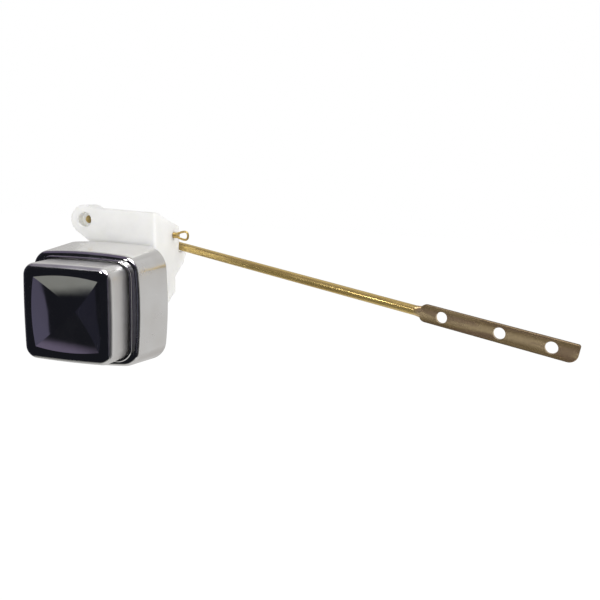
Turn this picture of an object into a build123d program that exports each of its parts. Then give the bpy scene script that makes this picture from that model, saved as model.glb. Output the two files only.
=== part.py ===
"""Cistern push button actuator: dished chrome button, wall casing, bracket, crank and lifting rod.

Units are millimetres. X runs right seen from the front, Y back into the cistern, Z up.
The origin is on the button axis, in the plane of the casing's back rim.
"""

import os
from math import asin, cos, degrees, radians, sin

from build123d import *

# Fits and clearances
run_gap = 0.3
hinge_gap = 0.05
rest_gap = 0.3
reach = 60.0

# Casing
casing_back_w = 28.4
casing_back_h = 27.5
casing_back_r = 10.0
casing_back_crown = 1.7
casing_inner_crown = 1.5
casing_draft = 6.2
casing_depth = 22.4
casing_wall = 2.0
casing_front_wall = 2.5
casing_ledge_w = 24.0
casing_ledge_t = 1.6
casing_edge_r = 2.0
casing_lip = 0.8
casing_lip_w = 0.8

# Button
travel = 7.0
button_base_w = 21.4
button_base_h = 21.4
button_base_r = 6.0
button_draft = 1.8
button_crown = 0.5
button_proud = 14.0
button_wall = 2.0
button_edge_r = 2.4
button_gap = 0.5
button_lip = 0.8
button_lip_t = 1.8
dish_half = 16.2
dish_depth = 6.6
dish_bow = 0.7
dish_sweep_r = 140.0
dish_turn = 24.0
dish_wall = 2.2
boss_r = 5.8
boss_seat_r = 8.2
boss_seat_t = 0.5
boss_len = 7.8

# Plunger, spring and guide
plunger_r = 4.0
plunger_end = 15.7
plunger_bevel = 0.5
spring_mean_r = 6.9
spring_wire_r = 0.6
spring_turns = 5
spring_ease = 0.1
guide_flange_t = 3.0
guide_ease = 0.5
guide_tube_r = 6.0
guide_tube_len = 7.0
shank_r = 11.0
shank_end = 15.0

# Wall clamp
gasket_t = 2.5
gasket_inset = 1.2
plate_t = 3.0
washer_t = 1.5
washer_r = 15.0
nut_t = 7.0
nut_flats = 30.0
nut_bevel = 1.2
thread_ease = 0.02

# Bracket
slab_left = -21.6
slab_right = 20.8
slab_top_left = 42.7
slab_top_right = 41.8
slab_low = 8.0
slab_waist_x = -11.4
slab_waist_z = 26.0
slab_edge_r = 1.2
plate_low = -15.0
plate_half_w = 16.0
plate_shoulder = 12.0
plate_corner_r = 3.0
eye_x = -15.3
eye_z = 37.0
eye_r = 6.9
eye_len = 9.5
eye_bore_r = 3.3
eye_bore_depth = 4.0
eye_bevel = 0.4
cheek_t = 3.5
cheek_back = 28.5
cheek_back_top = 34.6
cheek_round = 1.2
lobe_gap = 0.4
lobe_back = 38.3
lobe_slant = 4.0
lobe_depth = 6.0
lobe_undercut = 13.6
lobe_waist = 11.6
lobe_foot = 19.4
lobe_heel = 23.8
lobe_heel_run = 21.8
lobe_root = 28.0
inner_cheek_x = -8.0
inner_cheek_back = 27.0
inner_cheek_low = 25.0
inner_cheek_top = 36.0
inner_cheek_root = 20.0
rib_t = 2.0
rib_run = 8.0
right_rib_z = 21.0
left_rib_z = 32.0
top_web_t = 2.5
top_web_depth = 9.5

# Crank
crank_y = 22.5
crank_z = 30.5
crank_arm = 30.0
crank_hub_r = 5.0
crank_hub_x0 = -4.2
crank_hub_x1 = 16.9
crank_half_w = 4.0
crank_pad_r = 3.0
crank_web = 5.0
finger_x0 = 6.0
finger_x1 = 11.0
finger_y = 36.0
finger_r = 1.6
finger_half_t = 2.8
finger_tie_drop = 3.0
cotter_r = 1.45
cotter_wire_r = 0.55
cotter_eye_half = 2.2
cotter_eye_len = 5.6
cotter_leg_len = 4.2
cotter_stub = 2.5
cotter_splay = 24.0

# Arm carrier and pivot pin
pivot_r = 1.8
pivot_end = 41.5
barrel_r = 3.8
carrier_y0 = 31.0
carrier_y1 = 43.0
carrier_x1 = 15.0
carrier_low = 20.0
carrier_top = 30.2
carrier_round = 1.2
carrier_corner_r = 1.5
carrier_x0 = -1.0
arm_bar_x = 4.0
arm_bar_half = 3.6
barrel_end = 38.0
barrel_gap = 0.3
push_nut_r = 3.5
push_nut_t = 1.0

# Rod
rod_r = 2.1
rod_x = 17.3
rod_y = 34.0
rod_z = 24.41
rod_lean = 18.0
rod_droop = 7.08
rod_inner = 17.0
rod_shoulder = 130.8
rod_neck = 3.4
neck_w = 5.2
rod_end = 193.6
flat_w = 7.4
flat_t = 1.8
flat_lap = 1.4
flat_start_r = 2.7
flat_tip_r = 3.3
flat_top_r = 0.9
flat_bevel = 0.3
flat_hole_r = 2.35
flat_hole_first = 142.1
flat_hole_pitch = 23.0
flat_hole_last_pitch = 19.1


def outline(half_w, half_h, crown, corner_r):
    """Rounded rectangle with gently bowed sides."""
    x = half_w - crown
    y = half_h - crown
    top = ThreePointArc((-x, y), (0, half_h), (x, y))
    right = ThreePointArc((x, y), (half_w, 0), (x, -y))
    low = ThreePointArc((x, -y), (0, -half_h), (-x, -y))
    left = ThreePointArc((-x, -y), (-half_w, 0), (-x, y))
    face = make_face([top, right, low, left])
    return fillet(face.vertices(), corner_r)


def at_y(y):
    """Plane across the button axis, its own normal to the front."""
    return Plane.XZ.offset(-y)


def slab_y(sketch, y0, y1):
    """Sketch in X and Z made solid from y0 to y1."""
    return extrude(at_y(y1) * sketch, y1 - y0)


def slab_x(sketch, x0, x1):
    """Sketch in Y and Z made solid from x0 to x1."""
    return extrude(Plane.YZ.offset(x0) * sketch, x1 - x0)


def disc_y(x, z, radius, y0, y1):
    """Round bar along Y."""
    return slab_y(Pos(x, z) * Circle(radius), y0, y1)


def disc_x(y, z, radius, x0, x1):
    """Round bar along X."""
    return slab_x(Pos(y, z) * Circle(radius), x0, x1)


def poly(*points):
    """Closed outline through the points."""
    return make_face(Polyline(*points, close=True))


def cone_y(x, z, r_front, r_back, y0, y1):
    """Round taper along Y."""
    return loft([at_y(y0) * Pos(x, z) * Circle(r_front), at_y(y1) * Pos(x, z) * Circle(r_back)])


def drafted(sketch, y_back, y_front, draft):
    """Sketch in X and Z made solid from back to front, narrowing by the draft angle."""
    return extrude(at_y(y_back) * sketch, y_back - y_front, taper=draft)


# Casing
casing_front = -casing_depth
inner_front = casing_front + casing_front_wall
open_w = button_base_w + button_gap
open_h = button_base_h + button_gap
casing_face = outline(casing_back_w, casing_back_h, casing_back_crown, casing_back_r)
casing_outer = drafted(casing_face, 0, casing_front, casing_draft)
casing_outer = fillet(casing_outer.faces().sort_by(Axis.Y)[0].edges(), casing_edge_r)
inner_w = casing_back_w - casing_wall
inner_h = casing_back_h - casing_wall
inner_r = casing_back_r - casing_wall
inner_face = outline(inner_w, inner_h, casing_inner_crown, inner_r)
casing_inner = drafted(inner_face, 0, inner_front, casing_draft)
open_r = button_base_r + button_gap
opening = outline(open_w, open_h, button_crown, open_r)
lip = outline(open_w + casing_lip_w, open_h + casing_lip_w, button_crown, open_r + casing_lip_w)
lip_ring = slab_y(lip, casing_front - casing_lip, inner_front)
lip_ring = fillet(lip_ring.faces().sort_by(Axis.Y)[0].edges(), casing_lip * 0.9)
casing = casing_outer - casing_inner + lip_ring
casing -= slab_y(opening, casing_front - 2 * casing_lip, inner_front + casing_wall)
ledge_y = -guide_flange_t
ledge_face = Rectangle(casing_ledge_w, 2 * inner_h)
ledge_face -= Rectangle(2 * casing_ledge_w, 2 * (inner_h - casing_wall))
ledge = slab_y(ledge_face, ledge_y - casing_ledge_t, ledge_y)
casing += ledge & casing_outer

# Button
button_front = casing_front - button_proud
button_back = inner_front + rest_gap + button_lip_t
button_face = outline(button_base_w, button_base_h, button_crown, button_base_r)
button_outer = drafted(button_face, button_back, button_front, button_draft)
button_outer = fillet(button_outer.faces().sort_by(Axis.Y)[0].edges(), button_edge_r)
hollow_w = button_base_w - button_wall
hollow_h = button_base_h - button_wall
hollow_face = outline(hollow_w, hollow_h, button_crown, button_base_r - button_wall)
button_inner = drafted(hollow_face, button_back, button_front + button_wall, button_draft)
half_facet = dish_depth / 2 + dish_bow
dish_right = ThreePointArc((dish_half, 0), (dish_half / 2, half_facet), (0, dish_depth))
dish_left = ThreePointArc((0, dish_depth), (-dish_half / 2, half_facet), (-dish_half, 0))
dish_rim = Polyline((-dish_half, 0), (-dish_half, -dish_depth), (dish_half, -dish_depth), (dish_half, 0))
dish_profile = make_face([dish_right, dish_left, dish_rim])
dish_axis = Axis((0, button_front - dish_sweep_r, 0), (1, 0, 0))
dish_x = revolve(Plane.XY * Pos(0, button_front) * dish_profile, dish_axis, dish_turn)
dish_x = dish_x.rotate(dish_axis, -dish_turn / 2)
dish = dish_x & dish_x.rotate(Axis.Y, 90)
under_dish = Pos(0, dish_wall, 0) * dish
button_hollow = button_inner - under_dish
lip_reach = button_lip - button_gap
button_lip_face = outline(open_w + lip_reach, open_h + lip_reach, button_crown, button_base_r + button_lip)
skirt_w = button_base_w - button_wall / 2
skirt_h = button_base_h - button_wall / 2
skirt_face = outline(skirt_w, skirt_h, button_crown, button_base_r - button_wall / 2)
button_ring = slab_y(button_lip_face - skirt_face, button_back - button_lip_t, button_back)
seat_y = button_front + dish_depth + dish_wall + boss_seat_t
boss_end = seat_y + boss_len
boss = disc_y(0, 0, boss_seat_r, button_front, seat_y) + disc_y(0, 0, boss_r, button_front, boss_end)
boss &= button_hollow
button = button_outer - dish - button_hollow + boss + button_ring
plunger_front = seat_y + rest_gap
button -= disc_y(0, 0, plunger_r, plunger_front, reach)

# Plunger
plunger = disc_y(0, 0, plunger_r, plunger_front, plunger_end)
plunger = chamfer(plunger.faces().sort_by(Axis.Y)[-1].edges(), plunger_bevel)

# Guide body
guide_face = outline(inner_w - guide_ease, inner_h - guide_ease, casing_inner_crown, inner_r)
guide_body = slab_y(guide_face, -guide_flange_t, 0)
guide_body += disc_y(0, 0, guide_tube_r, -guide_flange_t - guide_tube_len, 0)
guide_body += disc_y(0, 0, shank_r, -guide_flange_t, shank_end)
guide_body -= disc_y(0, 0, plunger_r + run_gap, -reach, reach)

# Return spring
spring_low = seat_y + spring_wire_r + spring_ease
spring_high = -guide_flange_t - spring_wire_r - spring_ease
spring_len = spring_high - spring_low
coil = Helix(spring_len / spring_turns, spring_len, spring_mean_r)
wire = Plane(coil @ 0, z_dir=coil % 0) * RegularPolygon(spring_wire_r, 6)
return_spring = at_y(spring_high) * sweep(wire, coil)

# Gasket, washer and nut
gasket_w = casing_back_w - gasket_inset
gasket_h = casing_back_h - gasket_inset
gasket_face = outline(gasket_w, gasket_h, casing_back_crown, casing_back_r - gasket_inset)
gasket = slab_y(gasket_face - Circle(shank_r + run_gap), 0, gasket_t)
plate_y = gasket_t
nut_y = plate_y + plate_t + washer_t
nut_washer = slab_y(Circle(washer_r) - Circle(shank_r + run_gap), plate_y + plate_t, nut_y)
nut_face = RegularPolygon(nut_flats / 2, 6, major_radius=False)
nut_blank = disc_y(0, 0, nut_flats / 2 + nut_bevel, nut_y, nut_y + nut_t)
nut_blank = chamfer(nut_blank.edges().sort_by(Axis.Y)[-1], nut_bevel)
lock_nut = slab_y(nut_face, nut_y, nut_y + nut_t) & nut_blank
lock_nut -= disc_y(0, 0, shank_r + thread_ease, 0, reach)

# Bracket
plate_back = plate_y + plate_t
slab_face = poly(
    (eye_x, eye_z + eye_r * 0.9),
    (eye_x + eye_r * 0.7, slab_top_left),
    (slab_right, slab_top_right),
    (slab_right, slab_low),
    (plate_half_w, plate_low),
    (-plate_half_w, plate_low),
    (-plate_half_w, plate_shoulder),
    (slab_waist_x, slab_waist_z),
    (eye_x - eye_r * 0.72, eye_z - eye_r * 0.69),
)
slab_face = fillet(slab_face.vertices().sort_by(Axis.Y)[:2], plate_corner_r)
plate = slab_y(slab_face, plate_y, plate_back)
eye_boss = disc_y(eye_x, eye_z, eye_r, plate_y, plate_y + eye_len)
top_slope = (slab_top_right - cheek_back_top) / (cheek_back - plate_y)
web_face = poly(
    (eye_x, slab_top_left - top_web_t),
    (eye_x + eye_r * 0.7, slab_top_left),
    (slab_right, slab_top_right),
    (slab_right, slab_top_right - 2 * top_web_t),
)
web_side = poly(
    (plate_y, 0),
    (plate_y, slab_top_left),
    (plate_y + top_web_depth, slab_top_right - top_slope * top_web_depth),
    (plate_y + top_web_depth, 0),
)
top_web = slab_y(web_face, plate_y, plate_y + top_web_depth) & slab_x(web_side, slab_left, slab_right)
rod_slope = radians(rod_lean)
rod_fall = radians(rod_droop)
rod_dir = Vector(cos(rod_fall) * cos(rod_slope), -cos(rod_fall) * sin(rod_slope), -sin(rod_fall))
lobe_top = rod_z + rod_dir.Z / rod_dir.X * (slab_right - rod_x) - rod_r - lobe_gap
cheek_face = poly(
    (plate_y, slab_top_right),
    (cheek_back, cheek_back_top),
    (cheek_back, lobe_top),
    (lobe_back, lobe_top),
    (lobe_back - lobe_slant, lobe_top - lobe_depth),
    (lobe_back - lobe_undercut, lobe_top - lobe_waist),
    (lobe_back - lobe_undercut, lobe_top - lobe_foot),
    (lobe_back - lobe_heel_run, lobe_top - lobe_heel),
    (plate_y, lobe_top - lobe_root),
)
cheek_corners = cheek_face.vertices().sort_by(Axis.X)[2:]
cheek_face = fillet(cheek_corners, cheek_round)
cheek = slab_x(cheek_face, slab_right - cheek_t, slab_right)
inner_cheek_face = poly(
    (plate_y, slab_top_right - top_web_t / 2),
    (inner_cheek_back, inner_cheek_top),
    (inner_cheek_back, inner_cheek_low),
    (plate_y, inner_cheek_root),
)
inner_cheek_corners = inner_cheek_face.vertices().sort_by(Axis.X)[2:]
inner_cheek_face = fillet(inner_cheek_corners, cheek_round)
inner_cheek = slab_x(inner_cheek_face, inner_cheek_x, inner_cheek_x + cheek_t)
gusset = poly((0, 0), (0, rib_run), (rib_run, 0))
right_root = (slab_right - cheek_t, plate_back, right_rib_z)
right_gusset = Plane(right_root, x_dir=(-1, 0, 0), z_dir=(0, 0, -1)) * gusset
left_root = (inner_cheek_x + cheek_t, plate_back, left_rib_z)
left_gusset = Plane(left_root, x_dir=(1, 0, 0), z_dir=(0, 0, 1)) * gusset
bracket = plate + eye_boss + top_web + cheek + inner_cheek
bracket += extrude(right_gusset, rib_t / 2, both=True)
bracket += extrude(left_gusset, rib_t / 2, both=True)
bracket -= disc_y(0, 0, shank_r + run_gap, 0, reach)
bracket -= disc_y(eye_x, eye_z, pivot_r, 0, reach)
bracket -= disc_y(eye_x, eye_z, eye_bore_r, 0, plate_y + eye_bore_depth)
bracket -= cone_y(eye_x, eye_z, eye_bore_r + eye_bevel, eye_bore_r, plate_y, plate_y + eye_bevel)
bracket -= disc_x(crank_y, crank_z, cotter_r + hinge_gap, -reach, reach)
corner_edges = bracket.edges().filter_by(Axis.Z)
front_corner = corner_edges.filter_by_position(Axis.X, slab_right - hinge_gap, slab_right + hinge_gap)
front_corner = front_corner.filter_by_position(Axis.Y, plate_y - hinge_gap, plate_y + hinge_gap)
bracket = fillet(front_corner, slab_edge_r)

# Crank
swing = asin(travel / 2 / crank_arm)
pad_y = crank_y - crank_arm * sin(swing)
pad_z = crank_z - crank_arm * cos(swing)
arm_line = Line((crank_y, crank_z), (pad_y, pad_z))
arm_mid = arm_line @ 0.5
arm_face = Pos(arm_mid.X, arm_mid.Y) * Rot(0, 0, -degrees(swing)) * Rectangle(crank_web, crank_arm)
crank = disc_x(crank_y, crank_z, crank_hub_r, crank_hub_x0, crank_hub_x1)
crank += slab_x(arm_face, -crank_half_w, crank_half_w)
crank += disc_x(pad_y, pad_z, crank_pad_r, -crank_half_w, crank_half_w)
finger_z = carrier_low - rest_gap - finger_r
finger_root_y = crank_y - finger_half_t
finger_face = poly(
    (finger_root_y, finger_z - finger_r),
    (finger_y, finger_z - finger_r),
    (finger_y, finger_z + finger_r),
    (finger_root_y, finger_z + finger_r),
)
finger_bar = slab_x(finger_face, finger_x0, finger_x1)
finger_bar += disc_x(finger_y, finger_z, finger_r, finger_x0, finger_x1)
finger_leg = slab_x(
    poly(
        (crank_y - finger_half_t, crank_z),
        (crank_y + finger_half_t, crank_z),
        (crank_y + finger_half_t, finger_z - finger_r),
        (crank_y - finger_half_t, finger_z - finger_r),
    ),
    finger_x0,
    finger_x1,
)
finger_tie = slab_x(
    poly(
        (crank_y - crank_web / 2, crank_z - finger_tie_drop),
        (crank_y + crank_web / 2, crank_z - finger_tie_drop),
        (crank_y + crank_web / 5, finger_z - finger_r),
        (crank_y - crank_web * 0.7, finger_z - finger_r),
    ),
    crank_half_w - 1,
    finger_x0 + 1,
)
crank += finger_bar + finger_leg + finger_tie
crank -= disc_x(crank_y, crank_z, cotter_r + hinge_gap, -reach, reach)

# Cotter pin
cotter_out = slab_right + cotter_stub
cotter_pin = disc_x(crank_y, crank_z, cotter_r, inner_cheek_x - cotter_r, cotter_out)
loop_root = cotter_r - cotter_wire_r
loop_bow = cotter_eye_half * 0.72
loop_knee = cotter_eye_len - cotter_eye_half
upper_leg = Line((0, loop_root), (loop_knee - loop_bow, cotter_eye_half * 0.7))
upper_arc = TangentArc(upper_leg @ 1, (cotter_eye_len, 0), tangent=upper_leg % 1)
lower_leg = Line((loop_knee - loop_bow, -cotter_eye_half * 0.7), (0, -loop_root))
lower_arc = ThreePointArc(upper_arc @ 1, ((upper_arc @ 0.5).X, -(upper_arc @ 0.5).Y), lower_leg @ 0)
loop_path = Wire([upper_leg, upper_arc, lower_arc, lower_leg])
loop_start = (cotter_out - cotter_wire_r, crank_y, crank_z)
loop_path = Plane(loop_start, x_dir=(1, 0, 0), z_dir=(0, -1, 0)) * loop_path
loop_wire = Plane(loop_path @ 0, z_dir=loop_path % 0) * RegularPolygon(cotter_wire_r, 8)
cotter_pin += sweep(loop_wire, loop_path, transition=Transition.ROUND)
for turn in (cotter_splay, -cotter_splay):
    leg = Pos(-cotter_leg_len / 2, 0, 0) * Rot(0, 90, 0) * Cylinder(cotter_r / 2, cotter_leg_len)
    cotter_pin += Pos(inner_cheek_x - cotter_r, crank_y, crank_z) * Rot(0, turn, 0) * leg

# Arm carrier
boss_back = plate_y + eye_len
barrel_y0 = boss_back + barrel_gap
barrel_y1 = barrel_end
carrier = disc_y(eye_x, eye_z, barrel_r, barrel_y0, barrel_y1)
arm_bar_face = poly(
    (eye_x - arm_bar_half * 0.67, eye_z - arm_bar_half * 0.8),
    (eye_x + arm_bar_half * 0.72, eye_z + arm_bar_half * 0.72),
    (arm_bar_x, carrier_top),
    (arm_bar_x, carrier_low),
    (carrier_x0 + carrier_corner_r, carrier_low + carrier_corner_r),
)
carrier += slab_y(arm_bar_face, carrier_y0, barrel_y1)
block_face = RectangleRounded(carrier_x1 - carrier_x0, carrier_top - carrier_low, carrier_corner_r)
block_x = (carrier_x1 + carrier_x0) / 2
block = slab_y(Pos(block_x, (carrier_low + carrier_top) / 2) * block_face, carrier_y0, carrier_y1)
block = fillet(block.faces().sort_by(Axis.Y)[-1].edges(), carrier_round)
carrier += block
carrier -= disc_y(eye_x, eye_z, pivot_r + hinge_gap, 0, reach)

# Rod
rod_flat_dir = Vector(sin(rod_slope), cos(rod_slope), 0)
rod_plane = Plane((rod_x, rod_y, rod_z), x_dir=rod_flat_dir, z_dir=rod_dir)
rod = extrude(rod_plane.offset(-rod_inner) * Circle(rod_r), rod_inner + rod_shoulder)
neck_end = rod_shoulder + rod_neck
neck_section = Ellipse(flat_t / 2, neck_w / 2)
neck = loft([rod_plane.offset(rod_shoulder) * Circle(rod_r), rod_plane.offset(neck_end) * neck_section])
flat_plane = Plane((rod_x, rod_y, rod_z), x_dir=rod_dir, z_dir=rod_flat_dir)
flat_start = neck_end - flat_lap
blade_face = Pos((flat_start + rod_end) / 2, 0) * Rectangle(rod_end - flat_start, flat_w)
blade_face = fillet(blade_face.vertices().sort_by(Axis.X)[:2], flat_start_r)
tip_corners = blade_face.vertices().sort_by(Axis.X)[-2:].sort_by(Axis.Y)
blade_face = fillet(tip_corners[0], flat_top_r)
blade_face = fillet(blade_face.vertices().sort_by(Axis.Y)[-2:].sort_by(Axis.X)[-1], flat_tip_r)
blade = extrude(flat_plane * blade_face, flat_t / 2, both=True)
blade = chamfer(blade.faces().sort_by(SortBy.AREA)[-2:].edges(), flat_bevel)
rod += neck + blade
hole_2 = flat_hole_first + flat_hole_pitch
hole_3 = hole_2 + flat_hole_last_pitch
hole_places = (flat_hole_first, hole_2, hole_3)
hole_cut = Sketch() + [Pos(along, 0) * Circle(flat_hole_r) for along in hole_places]
rod -= extrude(flat_plane * hole_cut, flat_w, both=True)
carrier -= extrude(rod_plane.offset(-rod_inner) * Circle(rod_r), reach)

# Pivot pin and push nut
pivot_pin = disc_y(eye_x, eye_z, pivot_r, plate_y + eye_bore_depth, pivot_end)
push_y = barrel_y1 + barrel_gap
push_nut = slab_y(Pos(eye_x, eye_z) * (Circle(push_nut_r) - Circle(pivot_r)), push_y, push_y + push_nut_t)

nodes = {
    "casing": casing,
    "button": button,
    "plunger": plunger,
    "guide_body": guide_body,
    "return_spring": return_spring,
    "gasket": gasket,
    "bracket": bracket,
    "nut_washer": nut_washer,
    "lock_nut": lock_nut,
    "crank": crank,
    "cotter_pin": cotter_pin,
    "arm_carrier": carrier,
    "rod": rod,
    "pivot_pin": pivot_pin,
    "pivot_push_nut": push_nut,
}
os.makedirs("parts", exist_ok=True)
for name, shape in nodes.items():
    export_step(shape, "parts/" + name + ".step")
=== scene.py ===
"""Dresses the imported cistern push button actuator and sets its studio, in metres."""

import math

import bpy
from mathutils import Matrix, Vector


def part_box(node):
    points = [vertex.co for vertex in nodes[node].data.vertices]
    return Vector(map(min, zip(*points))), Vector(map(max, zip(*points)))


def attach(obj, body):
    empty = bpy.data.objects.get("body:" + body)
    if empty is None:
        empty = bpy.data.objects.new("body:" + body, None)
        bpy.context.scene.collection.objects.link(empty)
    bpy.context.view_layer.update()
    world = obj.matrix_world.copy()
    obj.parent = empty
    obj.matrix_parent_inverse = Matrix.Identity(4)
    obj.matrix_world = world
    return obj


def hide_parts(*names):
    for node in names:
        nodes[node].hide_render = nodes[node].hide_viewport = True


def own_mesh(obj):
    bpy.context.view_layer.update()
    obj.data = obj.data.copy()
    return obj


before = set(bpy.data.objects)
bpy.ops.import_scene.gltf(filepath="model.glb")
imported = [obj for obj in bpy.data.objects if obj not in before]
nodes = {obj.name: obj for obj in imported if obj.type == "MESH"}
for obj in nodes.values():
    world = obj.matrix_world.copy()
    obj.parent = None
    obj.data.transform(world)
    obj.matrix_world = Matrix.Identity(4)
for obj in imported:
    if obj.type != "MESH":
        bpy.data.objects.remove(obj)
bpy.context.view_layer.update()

# Camera: place in metres, then turn to the left, tilt down and roll in degrees, and the lens in millimetres
CAMERA_AT = (0.14765, -0.25168, 0.05432)
CAMERA_YAW = 12.724
CAMERA_PITCH = 10.282
CAMERA_ROLL = -2.371
CAMERA_LENS = 36.0
CAMERA_SENSOR = 36.0
CAMERA_NEAR = 0.01

# Floor, which glows white to the camera but for a small share that takes shadow
FLOOR_Z = -0.16
FLOOR_SIZE = 6.0
FLOOR_COLOUR = (0.9, 0.9, 0.9, 1)
FLOOR_ROUGHNESS = 0.9
FLOOR_GLOW = 1.06
GLOW_SHARE = 0.9

# Room as dull surfaces and the camera see it
ROOM_LIGHT = (0.72, 0.715, 0.71)
BACKDROP = (1.0, 1.0, 1.0)

# Room as shiny surfaces see it: pale clouds, with darker patches in front of the button
CLOUD_SCALE = 2.2
CLOUD_TONES = ((0.35, (0.50, 0.485, 0.47)), (0.65, (0.66, 0.66, 0.655)))
HIGH_TINT = (0.125, 0.105, 0.160)
FLOOR_TINT = (0.22, 0.225, 0.21)
DARK_TINT = (0.009, 0.0095, 0.013)
LEFT_TINT = (0.016, 0.016, 0.025)

# Sides of those patches in degrees, each with the angle where it begins and the one where it is full.
# Left and right count from straight in front of the button, low and high from level.
FAR_LEFT = (-118, -104)
FAR_RIGHT = (90, 76)
DARK_LOW = (-48, -42)
DARK_HIGH = (34, 28)
ROOM_PATCHES = (
    {"tint": HIGH_TINT, "left": FAR_LEFT, "right": FAR_RIGHT, "low": (20, 30), "high": (95, 88)},
    {"tint": FLOOR_TINT, "left": FAR_LEFT, "right": (33, 28), "low": (-60, -53), "high": (-30, -38)},
    {"tint": DARK_TINT, "left": FAR_LEFT, "right": FAR_RIGHT, "low": DARK_LOW, "high": DARK_HIGH},
    {"tint": LEFT_TINT, "left": FAR_LEFT, "right": (-50, -60), "low": DARK_LOW, "high": DARK_HIGH},
)

# Oval patch that the left side of the dish mirrors: colour, middle and half widths in degrees, soft edge
SPOT_TINT = (0.078, 0.072, 0.112)
SPOT_AT = (21.0, -6.0)
SPOT_REACH = (9.0, 15.0)
SPOT_EDGE = (1.0, 0.7)

# Lamps, in metres and watts. A shiny lamp shows only in shiny surfaces, any other lights only dull ones.
LAMPS = (
    {"name": "key_lamp", "place": (0.25, -0.35, 0.75), "target": (0.08, 0, 0),
     "size": 0.5, "power": 4.4, "shiny": True},
    {"name": "front_lamp", "place": (0.30, -0.75, 0.15), "target": (0.05, 0, 0.02),
     "size": 0.5, "power": 2.5, "shiny": False},
    {"name": "fill_lamp", "place": (-0.6, -0.1, 0.45), "target": (0, 0, 0),
     "size": 0.5, "power": 0.5, "shiny": False},
    {"name": "side_lamp", "place": (0.60, 0.10, 0.25), "target": (0, 0.03, 0.03),
     "size": 0.4, "power": 1.2, "shiny": False},
    {"name": "glint_lamp", "place": (-0.05, -0.22, 0.12), "target": (0.12, 0, 0.01),
     "size": 0.03, "power": 0.08, "shiny": True},
)

# Chrome: tones, least and most roughness of the front, how much rougher the sides are, and how far from the
# button's axis those duller sides begin and are full
CHROME_TONES = ((0.3, (0.80, 0.785, 0.77)), (0.7, (0.87, 0.87, 0.87)))
BUTTON_ROUGHNESS = (0.04, 0.09)
BUTTON_SATIN = 0.30
BUTTON_SIDES = (0.0188, 0.0196)
CASING_ROUGHNESS = (0.06, 0.12)
CASING_SATIN = 0.16
CASING_SIDES = (0.0236, 0.0248)

# Plastics: darker and lighter mottling, and how much light goes into them and how far
WHITE_TONES = ((0.35, (0.80, 0.80, 0.78)), (0.65, (0.86, 0.86, 0.84)))
ACETAL_TONES = ((0.35, (0.76, 0.76, 0.73)), (0.65, (0.83, 0.83, 0.80)))
PLASTIC_GLOW = 0.5
PLASTIC_DEPTH = (0.006, 0.006, 0.005)

# Brass: tones of its streaks and how much its roughness varies
BRASS_TONES = ((0.3, (0.50, 0.34, 0.11)), (0.7, (0.74, 0.55, 0.22)), (0.5, (0.62, 0.45, 0.16)))
BRASS_SPREAD = 0.08

# Way that the rod's streaks run: droop and lean in degrees
ROD_DROOP = 7.1
ROD_LEAN = -18
ROD_TURN = (0, math.radians(ROD_DROOP), math.radians(ROD_LEAN))

# Old brass on the rod's flat end: where along X it begins and is full, its middle line's height at X of
# nought, and how far that line falls per metre along X
FLAT_START = (0.1385, 0.1425)
FLAT_HEIGHT = 0.02667
FLAT_FALL = 0.1306
BRONZE_TONES = ((0.3, (0.28, 0.185, 0.09)), (0.7, (0.51, 0.375, 0.20)), (0.5, (0.39, 0.28, 0.14)))

# Painted highlight along the middle, stains, and rougher edges with painted shade on that flat end, with
# widths from its middle line
# Painted highlight: a lighter line along the flat's middle
MIDDLE_HIGHLIGHT_TONE = (0.92, 0.71, 0.42)
MIDDLE_HIGHLIGHT_WIDTH = (0.0024, 0.0004)
MIDDLE_HIGHLIGHT_SHARE = 0.7
STAIN_TONE = (0.30, 0.19, 0.135)
STAIN_EDGE = (0.45, 0.62)
STAIN_SHARE = 0.6
# Painted shade on the flat's edges, which are also made rougher
EDGE_SHADE_TONE = (0.19, 0.135, 0.075)
SHADED_DULL_EDGE_WIDTH = (0.0028, 0.0037)
DULL_ROUGHNESS = 0.3

# Steel and rubber: darker and lighter mottling
STEEL_TONES = ((0.3, (0.42, 0.42, 0.43)), (0.7, (0.60, 0.60, 0.61)))
RUBBER_TONES = ((0.3, (0.018, 0.018, 0.019)), (0.7, (0.045, 0.045, 0.045)))

# Return spring
SPRING_RADIUS = 0.0069
SPRING_WIRE = 0.0006
SPRING_TURNS = 5.5
SPRING_STEPS = 28

# Split pin, its axis at Y and Z
PIN_AT = (0.0225, 0.0305)
PIN_RADIUS = 0.00145
PIN_SLIT = 0.0002
PIN_WIRE = 0.00055
PIN_SPREAD_RUN = 0.0040
PIN_SPREAD = 0.0020
PIN_TIP_RADIUS = 0.48 * PIN_RADIUS
LEG_STEPS = 16

# Upper half of the split pin's eye: control values of a cubic curve, along the pin and up from its axis
EYE_LENGTH = 0.0055
EYE_ALONG = (0, 0.4 * EYE_LENGTH, EYE_LENGTH, EYE_LENGTH)
EYE_UP = (0.0009, 0.0017, 0.0032, 0)
EYE_STEPS = 24

# Faces around the round wires: twice this number and four more
WIRE_ROUNDNESS = 4

# Part of the noise's range that is spread over a range of values
NOISE_SPAN = (0.3, 0.7)


def new_material(name):
    """Empty node material with a principled shader."""
    material = bpy.data.materials.new(name)
    material.use_nodes = True
    tree = material.node_tree
    return material, tree, tree.nodes["Principled BSDF"]


def add_node(tree, kind, **values):
    """Node of one kind with its inputs or settings filled in."""
    node = tree.nodes.new(kind)
    for key, value in values.items():
        if key in node.inputs:
            node.inputs[key].default_value = value
        else:
            setattr(node, key, value)
    return node


def math_node(tree, operation, first, second=None):
    """Arithmetic node on one or two sources."""
    node = add_node(tree, "ShaderNodeMath", operation=operation)
    for index, source in enumerate((first, second)):
        if source is None:
            continue
        if isinstance(source, (int, float)):
            node.inputs[index].default_value = source
        else:
            tree.links.new(source, node.inputs[index])
    return node.outputs["Value"]


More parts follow.
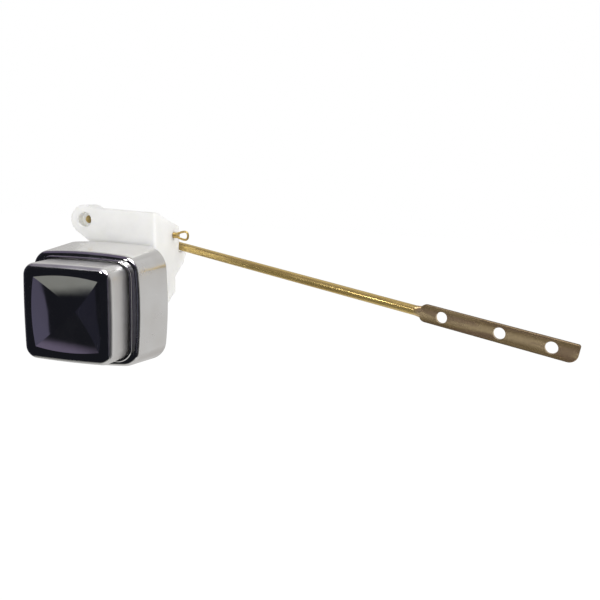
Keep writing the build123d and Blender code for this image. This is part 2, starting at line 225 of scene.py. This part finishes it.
def map_range(tree, source, kind, from_min, from_max, to_min=0.0, to_max=1.0):
    """Source mapped from one range to another."""
    node = add_node(tree, "ShaderNodeMapRange", interpolation_type=kind)
    limits = {"From Min": from_min, "From Max": from_max, "To Min": to_min, "To Max": to_max}
    for name, value in limits.items():
        node.inputs[name].default_value = value
    tree.links.new(source, node.inputs["Value"])
    return node.outputs["Result"]


def soft_step(tree, source, start, stop):
    """Smooth rise from nought at start to one at stop."""
    return map_range(tree, source, "SMOOTHSTEP", start, stop)


def axes(tree, space):
    """The three coordinates of a point, in the space that the texture coordinate names."""
    place = add_node(tree, "ShaderNodeTexCoord")
    split = add_node(tree, "ShaderNodeSeparateXYZ")
    tree.links.new(place.outputs[space], split.inputs["Vector"])
    return split.outputs["X"], split.outputs["Y"], split.outputs["Z"]


def object_noise(tree, scale, stretch=(1, 1, 1), turn=(0, 0, 0)):
    """Noise in the object's own space, stretched and turned."""
    place = add_node(tree, "ShaderNodeTexCoord")
    shift = add_node(tree, "ShaderNodeMapping", vector_type="TEXTURE", Scale=stretch, Rotation=turn)
    noise = add_node(tree, "ShaderNodeTexNoise", Scale=scale, Detail=3.0)
    tree.links.new(place.outputs["Object"], shift.inputs["Vector"])
    tree.links.new(shift.outputs["Vector"], noise.inputs["Vector"])
    return noise.outputs["Fac"]


def noise_range(tree, scale, low, high):
    """Noise spread over a range of values."""
    return map_range(tree, object_noise(tree, scale), "LINEAR", *NOISE_SPAN, low, high)


def streaks(tree, turn):
    """Noise drawn out along a wire."""
    return object_noise(tree, scale=420, stretch=(24, 1, 1), turn=turn)


def ramp(tree, source, stops):
    """Colour ramp through (position, colour) stops."""
    node = tree.nodes.new("ShaderNodeValToRGB")
    points = node.color_ramp.elements
    for index, (position, colour) in enumerate(stops):
        point = points[index] if index < 2 else points.new(position)
        point.position = position
        point.color = (*colour, 1)
    tree.links.new(source, node.inputs["Fac"])
    return node.outputs["Color"]


def layer(tree, below, colour, mask):
    """Lays a colour over another where the mask is one."""
    node = add_node(tree, "ShaderNodeMix", data_type="RGBA")
    for name, source in (("A", below), ("B", colour)):
        if isinstance(source, tuple):
            node.inputs[name].default_value = (*source, 1)
        else:
            tree.links.new(source, node.inputs[name])
    tree.links.new(mask, node.inputs["Factor"])
    return node.outputs["Result"]


def set_surface(tree, shader, tint, rough):
    """Links a colour and a roughness to the shader."""
    tree.links.new(tint, shader.inputs["Base Color"])
    tree.links.new(rough, shader.inputs["Roughness"])


def add_bump(tree, shader, source, strength, distance):
    """Fine surface relief."""
    bump = add_node(tree, "ShaderNodeBump", Strength=strength, Distance=distance)
    tree.links.new(source, bump.inputs["Height"])
    tree.links.new(bump.outputs["Normal"], shader.inputs["Normal"])


def chrome_material(name, roughness, satin, sides):
    """Bright plate with faint waves and wipe marks, duller by the satin amount on its sides."""
    material, tree, shader = new_material(name)
    shader.inputs["Metallic"].default_value = 1.0
    tint = ramp(tree, object_noise(tree, scale=60), CHROME_TONES)
    rough = noise_range(tree, 140, *roughness)
    x, _, z = axes(tree, "Object")
    reach = math_node(tree, "MAXIMUM", math_node(tree, "ABSOLUTE", x), math_node(tree, "ABSOLUTE", z))
    extra = math_node(tree, "MULTIPLY", soft_step(tree, reach, *sides), satin)
    set_surface(tree, shader, tint, math_node(tree, "ADD", rough, extra))
    add_bump(tree, shader, object_noise(tree, scale=45), strength=0.05, distance=0.001)
    return material


def plastic_material(name, tones, low_rough, high_rough, grain):
    """Moulded plastic with soft mottling and a fine skin."""
    material, tree, shader = new_material(name)
    tint = ramp(tree, object_noise(tree, scale=90), tones)
    rough = noise_range(tree, scale=300, low=low_rough, high=high_rough)
    set_surface(tree, shader, tint, rough)
    shader.inputs["Subsurface Weight"].default_value = PLASTIC_GLOW
    shader.inputs["Subsurface Radius"].default_value = PLASTIC_DEPTH
    shader.inputs["Subsurface Scale"].default_value = 1.0
    add_bump(tree, shader, object_noise(tree, scale=grain), strength=0.08, distance=0.0004)
    return material


def brass_material(name, turn, roughness, metal):
    """Drawn brass, streaked along its length."""
    material, tree, shader = new_material(name)
    shader.inputs["Metallic"].default_value = metal
    streak = streaks(tree, turn)
    rough = noise_range(tree, scale=120, low=roughness - BRASS_SPREAD, high=roughness + BRASS_SPREAD)
    set_surface(tree, shader, ramp(tree, streak, BRASS_TONES), rough)
    add_bump(tree, shader, streak, strength=0.02, distance=0.0001)
    return material


def age_flat_end_and_paint_light(material, turn):
    """Turns the rod's flat end to stained bronze, with a painted highlight along its middle and painted
    shade on its rougher edges.
    """
    tree = material.node_tree
    shader = tree.nodes["Principled BSDF"]
    tint = shader.inputs["Base Color"].links[0].from_socket
    rough = shader.inputs["Roughness"].links[0].from_socket
    x, _, z = axes(tree, "Object")
    on_flat = soft_step(tree, x, *FLAT_START)
    height = math_node(tree, "ADD", math_node(tree, "MULTIPLY", x, FLAT_FALL), z)
    away = math_node(tree, "ABSOLUTE", math_node(tree, "SUBTRACT", height, FLAT_HEIGHT))
    # Painted highlight: lighter tone along the flat's middle line
    painted_highlight = math_node(tree, "MULTIPLY", soft_step(tree, away, *MIDDLE_HIGHLIGHT_WIDTH), MIDDLE_HIGHLIGHT_SHARE)
    blotch = object_noise(tree, scale=330, stretch=(5, 1, 1), turn=turn)
    stain = math_node(tree, "MULTIPLY", soft_step(tree, blotch, *STAIN_EDGE), STAIN_SHARE)
    # Edges of the flat: darker by painted shade, and rougher
    shaded_dull_edge = soft_step(tree, away, *SHADED_DULL_EDGE_WIDTH)
    bronze = ramp(tree, streaks(tree, turn), BRONZE_TONES)
    for tone, mask in ((MIDDLE_HIGHLIGHT_TONE, painted_highlight), (STAIN_TONE, stain), (EDGE_SHADE_TONE, shaded_dull_edge)):
        bronze = layer(tree, bronze, tone, mask)
    extra = math_node(tree, "MULTIPLY", math_node(tree, "MULTIPLY", shaded_dull_edge, on_flat), DULL_ROUGHNESS)
    set_surface(tree, shader, layer(tree, tint, bronze, on_flat), math_node(tree, "ADD", rough, extra))


def steel_material(name):
    """Drawn spring wire and stamped steel."""
    material, tree, shader = new_material(name)
    shader.inputs["Metallic"].default_value = 1.0
    tint = ramp(tree, object_noise(tree, scale=300), STEEL_TONES)
    set_surface(tree, shader, tint, noise_range(tree, scale=500, low=0.25, high=0.42))
    return material


def rubber_material(name):
    """Black gasket rubber."""
    material, tree, shader = new_material(name)
    tint = ramp(tree, object_noise(tree, scale=400), RUBBER_TONES)
    set_surface(tree, shader, tint, noise_range(tree, scale=900, low=0.7, high=0.85))
    add_bump(tree, shader, object_noise(tree, scale=1500), strength=0.15, distance=0.0002)
    return material


def dress(material, *names):
    """Gives CAD nodes a material."""
    for name in names:
        mesh = nodes[name].data
        mesh.materials.clear()
        mesh.materials.append(material)


def dress_nodes(steel, brass):
    """Makes the other materials and dresses every CAD node."""
    button_chrome = chrome_material("button_chrome", BUTTON_ROUGHNESS, BUTTON_SATIN, BUTTON_SIDES)
    casing_chrome = chrome_material("casing_chrome", CASING_ROUGHNESS, CASING_SATIN, CASING_SIDES)
    white = plastic_material("white_plastic", WHITE_TONES, low_rough=0.32, high_rough=0.44, grain=700)
    acetal = plastic_material("acetal", ACETAL_TONES, low_rough=0.42, high_rough=0.54, grain=900)
    rod_brass = brass_material("rod_brass", ROD_TURN, roughness=0.25, metal=0.70)
    age_flat_end_and_paint_light(rod_brass, ROD_TURN)
    dress(button_chrome, "button")
    dress(casing_chrome, "casing")
    dress(white, "bracket", "guide_body", "lock_nut")
    dress(acetal, "plunger", "crank", "arm_carrier")
    dress(rod_brass, "rod")
    dress(brass, "cotter_pin", "pivot_pin")
    dress(steel, "return_spring", "pivot_push_nut")
    dress(rubber_material("rubber"), "gasket", "nut_washer")


def tube(name, points, radius):
    """Round wire through a row of points, as a mesh."""
    curve = bpy.data.curves.new(name, "CURVE")
    curve.dimensions = "3D"
    curve.bevel_depth = radius
    curve.bevel_resolution = WIRE_ROUNDNESS
    curve.use_fill_caps = True
    line = curve.splines.new("POLY")
    line.points.add(len(points) - 1)
    for line_point, place in zip(line.points, points):
        line_point.co = (*place, 1)
    wire = bpy.data.objects.new(name, curve)
    bpy.context.collection.objects.link(wire)
    bpy.ops.object.select_all(action="DESELECT")
    bpy.context.view_layer.objects.active = wire
    wire.select_set(True)
    bpy.ops.object.convert(target="MESH")
    wire = bpy.context.view_layer.objects.active
    wire.select_set(False)
    wire.data.polygons.foreach_set("use_smooth", [True] * len(wire.data.polygons))
    return wire


def coil_spring(steel):
    """Return spring as a round wire coil."""
    low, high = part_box("return_spring")
    front = low[1] + SPRING_WIRE
    back = high[1] - SPRING_WIRE
    count = int(SPRING_TURNS * SPRING_STEPS)
    points = []
    for index in range(count + 1):
        part = index / count
        angle = 2 * math.pi * SPRING_TURNS * part
        y = front + (back - front) * part
        points.append((SPRING_RADIUS * math.cos(angle), y, SPRING_RADIUS * math.sin(angle)))
    spring = tube("coil_spring", points, SPRING_WIRE)
    spring.data.materials.append(steel)
    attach(spring, "body")
    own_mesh(spring)
    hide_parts("return_spring")


def cubic(values, part):
    """Value at a share of the way along a cubic curve with four control values."""
    first, second, third, last = values
    rest = 1 - part
    return rest**3 * first + 3 * rest**2 * part * second + 3 * rest * part**2 * third + part**3 * last


def pin_eye(start):
    """Looped eye of the split pin, from its start along X."""
    upper = []
    for index in range(EYE_STEPS + 1):
        part = index / EYE_STEPS
        upper.append((start + cubic(EYE_ALONG, part), cubic(EYE_UP, part)))
    loop = [(x, PIN_AT[0], PIN_AT[1] + z) for x, z in upper]
    loop += [(x, PIN_AT[0], PIN_AT[1] - z) for x, z in reversed(upper[:-1])]
    return tube("split_pin", loop, PIN_WIRE)


def half_bar(name, start, stop, side):
    """Half-round leg along X, its flat towards the other leg."""
    corners = []
    for x in (start, stop):
        for index in range(LEG_STEPS + 1):
            angle = math.pi * index / LEG_STEPS
            z = side * (PIN_SLIT / 2 + (PIN_RADIUS - PIN_SLIT / 2) * math.sin(angle))
            corners.append((x, PIN_AT[0] + PIN_RADIUS * math.cos(angle), PIN_AT[1] + z))
    count = LEG_STEPS + 1
    faces = [[i, (i + 1) % count, (i + 1) % count + count, i + count] for i in range(count)]
    faces += [list(range(count)), list(range(2 * count - 1, count - 1, -1))]
    mesh = bpy.data.meshes.new(name)
    mesh.from_pydata(corners, [], faces)
    leg = bpy.data.objects.new(name, mesh)
    bpy.context.collection.objects.link(leg)
    return leg


def join(pieces):
    """Joins mesh pieces into the first of them."""
    bpy.ops.object.select_all(action="DESELECT")
    for piece in pieces:
        piece.select_set(True)
    bpy.context.view_layer.objects.active = pieces[0]
    bpy.ops.object.join()
    joined = bpy.context.view_layer.objects.active
    joined.select_set(False)
    return joined


def split_pin(brass):
    """Pin bent from half-round wire, with a looped eye and spread ends."""
    low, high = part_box("cotter_pin")
    eye_start = high[0] - PIN_WIRE - EYE_LENGTH
    legs_end = low[0] + PIN_SPREAD_RUN
    pieces = [pin_eye(eye_start)]
    for side in (1, -1):
        pieces.append(half_bar("split_pin_leg", legs_end, eye_start + PIN_WIRE, side))
        root = (legs_end, PIN_AT[0], PIN_AT[1] + side * PIN_RADIUS / 2)
        tip = (low[0] + PIN_WIRE, PIN_AT[0], PIN_AT[1] + side * PIN_SPREAD)
        pieces.append(tube("split_pin_tip", [root, tip], PIN_TIP_RADIUS))
    pin = join(pieces)
    pin.data.materials.clear()
    pin.data.materials.append(brass)
    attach(pin, "body")
    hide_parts("cotter_pin")


def studio_floor():
    """Plain pale floor, white to the camera with a trace of shadow."""
    bpy.ops.mesh.primitive_plane_add(size=FLOOR_SIZE, location=(0, 0, FLOOR_Z))
    floor = bpy.context.object
    floor.name = "studio_floor"
    material, tree, shader = new_material("floor_white")
    shader.inputs["Base Color"].default_value = FLOOR_COLOUR
    shader.inputs["Roughness"].default_value = FLOOR_ROUGHNESS
    path = add_node(tree, "ShaderNodeLightPath")
    glow = add_node(tree, "ShaderNodeEmission", Color=(1, 1, 1, 1), Strength=FLOOR_GLOW)
    blend = add_node(tree, "ShaderNodeMixShader")
    share = math_node(tree, "MULTIPLY", path.outputs["Is Camera Ray"], GLOW_SHARE)
    tree.links.new(share, blend.inputs["Fac"])
    tree.links.new(shader.outputs["BSDF"], blend.inputs[1])
    tree.links.new(glow.outputs["Emission"], blend.inputs[2])
    tree.links.new(blend.outputs["Shader"], tree.nodes["Material Output"].inputs["Surface"])
    floor.data.materials.append(material)
    floor.visible_glossy = False


def sector(tree, turn, rise, patch):
    """Mask of a soft-edged patch of the room."""
    sides = ((turn, "left"), (turn, "right"), (rise, "low"), (rise, "high"))
    mask = 1.0
    for source, side in sides:
        mask = math_node(tree, "MULTIPLY", soft_step(tree, source, *patch[side]), mask)
    return mask


def spot(tree, turn, rise):
    """Mask of the soft-edged oval patch of the room."""
    squares = []
    for source, middle, reach in zip((turn, rise), SPOT_AT, SPOT_REACH):
        share = math_node(tree, "DIVIDE", math_node(tree, "SUBTRACT", source, middle), reach)
        squares.append(math_node(tree, "POWER", share, 2.0))
    return soft_step(tree, math_node(tree, "ADD", *squares), *SPOT_EDGE)


def mirrored_room(tree):
    """Colour of the room in shiny surfaces, laid out by degrees from the front and from level."""
    x, y, z = axes(tree, "Generated")
    ahead = math_node(tree, "MULTIPLY", y, -1.0)
    turn = math_node(tree, "DEGREES", math_node(tree, "ARCTAN2", x, ahead))
    rise = math_node(tree, "DEGREES", math_node(tree, "ARCSINE", z))
    place = add_node(tree, "ShaderNodeTexCoord")
    cloud = add_node(tree, "ShaderNodeTexNoise", Scale=CLOUD_SCALE, Detail=2.0)
    tree.links.new(place.outputs["Generated"], cloud.inputs["Vector"])
    room = ramp(tree, cloud.outputs["Fac"], CLOUD_TONES)
    for patch in ROOM_PATCHES:
        room = layer(tree, room, patch["tint"], sector(tree, turn, rise, patch))
    return layer(tree, room, SPOT_TINT, spot(tree, turn, rise))


def studio_world():
    """White room, with a dark end in front of the button as shiny surfaces see it."""
    world = bpy.data.worlds.new("studio")
    bpy.context.scene.world = world
    world.use_nodes = True
    tree = world.node_tree
    path = add_node(tree, "ShaderNodeLightPath")
    plain = layer(tree, ROOM_LIGHT, BACKDROP, path.outputs["Is Camera Ray"])
    seen = layer(tree, plain, mirrored_room(tree), path.outputs["Is Glossy Ray"])
    tree.links.new(seen, tree.nodes["Background"].inputs["Color"])


def area_light(name, place, target, size, power, shiny):
    """Soft square lamp aimed at a point."""
    lamp = bpy.data.lights.new(name, "AREA")
    lamp.size = size
    lamp.energy = power
    holder = bpy.data.objects.new(name, lamp)
    holder.location = place
    holder.visible_glossy = shiny
    holder.visible_diffuse = not shiny
    holder.visible_camera = False
    aim = Vector(target) - Vector(place)
    holder.rotation_euler = aim.to_track_quat("-Z", "Y").to_euler()
    bpy.context.collection.objects.link(holder)


def set_camera():
    """Camera at the photograph's viewpoint."""
    yaw, pitch, roll = (math.radians(angle) for angle in (CAMERA_YAW, CAMERA_PITCH, CAMERA_ROLL))
    ahead = Vector((-math.sin(yaw) * math.cos(pitch), math.cos(yaw) * math.cos(pitch), -math.sin(pitch)))
    level = Vector((math.cos(yaw), math.sin(yaw), 0))
    down = ahead.cross(level)
    right = math.cos(roll) * level + math.sin(roll) * down
    up = math.sin(roll) * level - math.cos(roll) * down
    data = bpy.data.cameras.new("camera")
    data.sensor_width = CAMERA_SENSOR
    data.lens = CAMERA_LENS
    data.clip_start = CAMERA_NEAR
    camera = bpy.data.objects.new("camera", data)
    turn = Matrix((right, up, -ahead)).transposed().to_4x4()
    camera.matrix_world = Matrix.Translation(CAMERA_AT) @ turn
    bpy.context.collection.objects.link(camera)
    bpy.context.scene.camera = camera


spring_steel = steel_material("spring_steel")
pin_brass = brass_material("brass", (0, 0, 0), roughness=0.35, metal=0.8)
dress_nodes(spring_steel, pin_brass)
coil_spring(spring_steel)
split_pin(pin_brass)
studio_floor()
studio_world()
for lamp_values in LAMPS:
    area_light(**lamp_values)
set_camera()
bpy.context.scene.view_settings.view_transform = "Standard"
